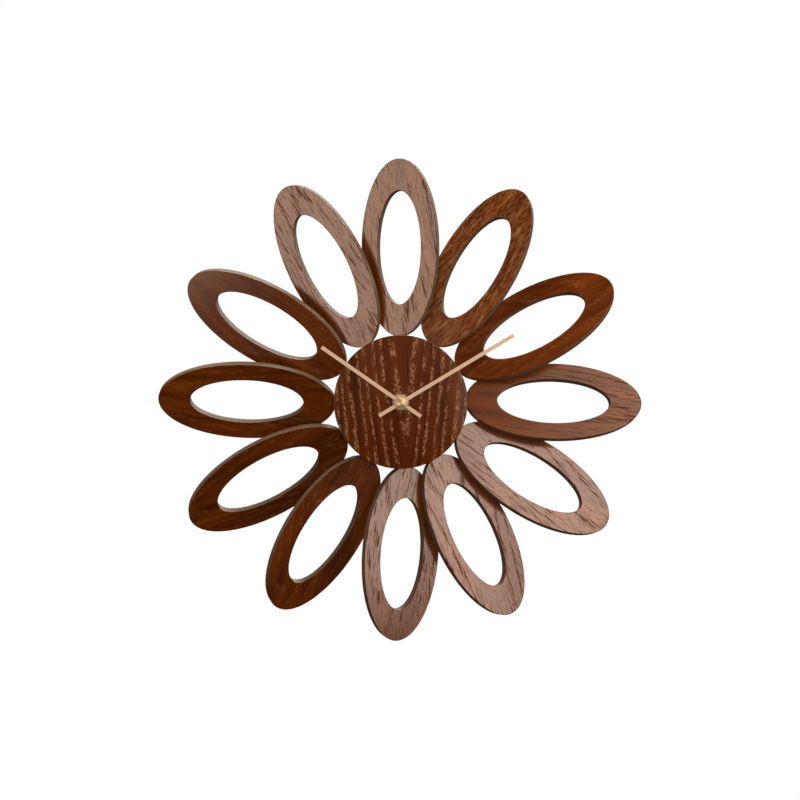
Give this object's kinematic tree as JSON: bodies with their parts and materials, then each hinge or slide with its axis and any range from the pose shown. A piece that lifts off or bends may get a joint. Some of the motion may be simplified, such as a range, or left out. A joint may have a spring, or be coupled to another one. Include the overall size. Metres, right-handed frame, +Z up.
{
  "type": "wall clock",
  "caption": "Wall clock: a pinwheel of tilted oval wooden rings round a small dial disc, with straight bar hands and a battery movement behind.",
  "frame": {"origin": "on the axis of the hands, in the plane of the hub's rear face, which is the wall", "axes": "+Z up through 12 o'clock, +Y into the wall, +X to the right of a person facing the clock"},
  "size_m": [0.4, 0.0466, 0.3999],
  "materials": {
    "ring_veneer": "satin, open-grained veneer over fibreboard",
    "dial_veneer": "satin, open-grained veneer over fibreboard",
    "fibreboard": "raw",
    "beech": "raw",
    "hand_metal": "satin, champagne anodised",
    "brass": "polished",
    "steel": "zinc plated",
    "rubber": "matt",
    "black_plastic": "fine grain",
    "gear_plastic": "moulded",
    "magnet": "matt",
    "motor_iron": "annealed",
    "copper_wire": "enamelled",
    "circuit_board": "solder resist",
    "contact_metal": "nickel plated",
    "battery_sleeve": "printed sleeve, no lettering"
  },
  "bodies": {
    "clock_body": {"petal_01": "ring_veneer", "petal_02": "ring_veneer", "petal_03": "ring_veneer", "petal_04": "ring_veneer", "petal_05": "ring_veneer", "petal_06": "ring_veneer", "petal_07": "ring_veneer", "petal_08": "ring_veneer", "petal_09": "ring_veneer", "petal_10": "ring_veneer", "petal_11": "ring_veneer", "petal_12": "ring_veneer", "petal_dowels": "beech", "hub_block": "fibreboard", "dial_disc": "dial_veneer", "disc_screws": "steel", "hanger_plate": "steel", "hanger_screws": "steel", "fixing_nut": "brass", "brass_washer": "brass", "rubber_washer": "rubber", "fixing_bushing": "brass", "movement_case": "black_plastic", "train_plate": "gear_plastic", "rear_cover": "black_plastic", "movement_screws": "steel", "stator": "motor_iron", "coil_core": "motor_iron", "coil_bobbin": "gear_plastic", "coil_winding": "copper_wire", "circuit_board": "circuit_board", "crystal": "contact_metal", "chip": "black_plastic", "positive_contact": "contact_metal", "negative_contact": "contact_metal"},
    "minute": {"minute_arbor": "steel", "minute_hand": "hand_metal", "cap_nut": "brass"},
    "hour": {"hour_wheel": "gear_plastic", "hour_hand": "hand_metal"},
    "motion": {"motion_wheel": "gear_plastic"},
    "setting": {"setting_arbor": "gear_plastic", "setting_knob": "gear_plastic"},
    "centre": {"centre_wheel": "gear_plastic", "clutch_spring": "brass"},
    "third": {"third_wheel": "gear_plastic"},
    "second": {"second_wheel": "gear_plastic"},
    "intermediate": {"intermediate_wheel": "gear_plastic"},
    "rotor": {"rotor_arbor": "gear_plastic", "rotor_magnet": "magnet"},
    "battery": {"battery_cell": "battery_sleeve"}
  },
  "joints": [
    {"name": "minute_turn", "type": "hinge", "parent": "clock_body", "child": "minute", "pos_m": [0, -0.041, 0], "axis": [0, 1, 0], "continuous": true},
    {"name": "hour_turn", "type": "hinge", "parent": "clock_body", "child": "hour", "pos_m": [0, -0.038, 0], "axis": [0, 1, 0], "continuous": true},
    {"name": "motion_turn", "type": "hinge", "parent": "clock_body", "child": "motion", "pos_m": [0.00812, -0.012, 0.00296], "axis": [0, 1, 0], "continuous": true},
    {"name": "setting_turn", "type": "hinge", "parent": "clock_body", "child": "setting", "pos_m": [0.01663, -0.012, 0.00145], "axis": [0, 1, 0], "continuous": true},
    {"name": "second_turn", "type": "hinge", "parent": "clock_body", "child": "second", "pos_m": [0, -0.012, 0], "axis": [0, 1, 0], "continuous": true},
    {"name": "third_turn", "type": "hinge", "parent": "clock_body", "child": "third", "pos_m": [-0.00602, -0.012, 0.00717], "axis": [0, 1, 0], "continuous": true},
    {"name": "centre_turn", "type": "hinge", "parent": "clock_body", "child": "centre", "pos_m": [0, -0.012, 0], "axis": [0, 1, 0], "continuous": true},
    {"name": "intermediate_turn", "type": "hinge", "parent": "clock_body", "child": "intermediate", "pos_m": [0.0072, -0.012, 0.00604], "axis": [0, 1, 0], "continuous": true},
    {"name": "rotor_turn", "type": "hinge", "parent": "clock_body", "child": "rotor", "pos_m": [0.01309, -0.012, 0.00944], "axis": [0, 1, 0], "continuous": true},
    {"name": "battery_slide", "type": "slide", "parent": "clock_body", "child": "battery", "axis": [0, 1, 0], "range_m": [0, 0.022]}
  ],
  "couplings": [
    {"joint": "hour_turn", "follows": "minute_turn", "ratio": 0.083333},
    {"joint": "motion_turn", "follows": "minute_turn", "ratio": -0.33333},
    {"joint": "setting_turn", "follows": "minute_turn", "ratio": 1},
    {"joint": "third_turn", "follows": "second_turn", "ratio": -0.13333},
    {"joint": "centre_turn", "follows": "second_turn", "ratio": 0.016667},
    {"joint": "intermediate_turn", "follows": "second_turn", "ratio": -4},
    {"joint": "rotor_turn", "follows": "second_turn", "ratio": 30}
  ]
}
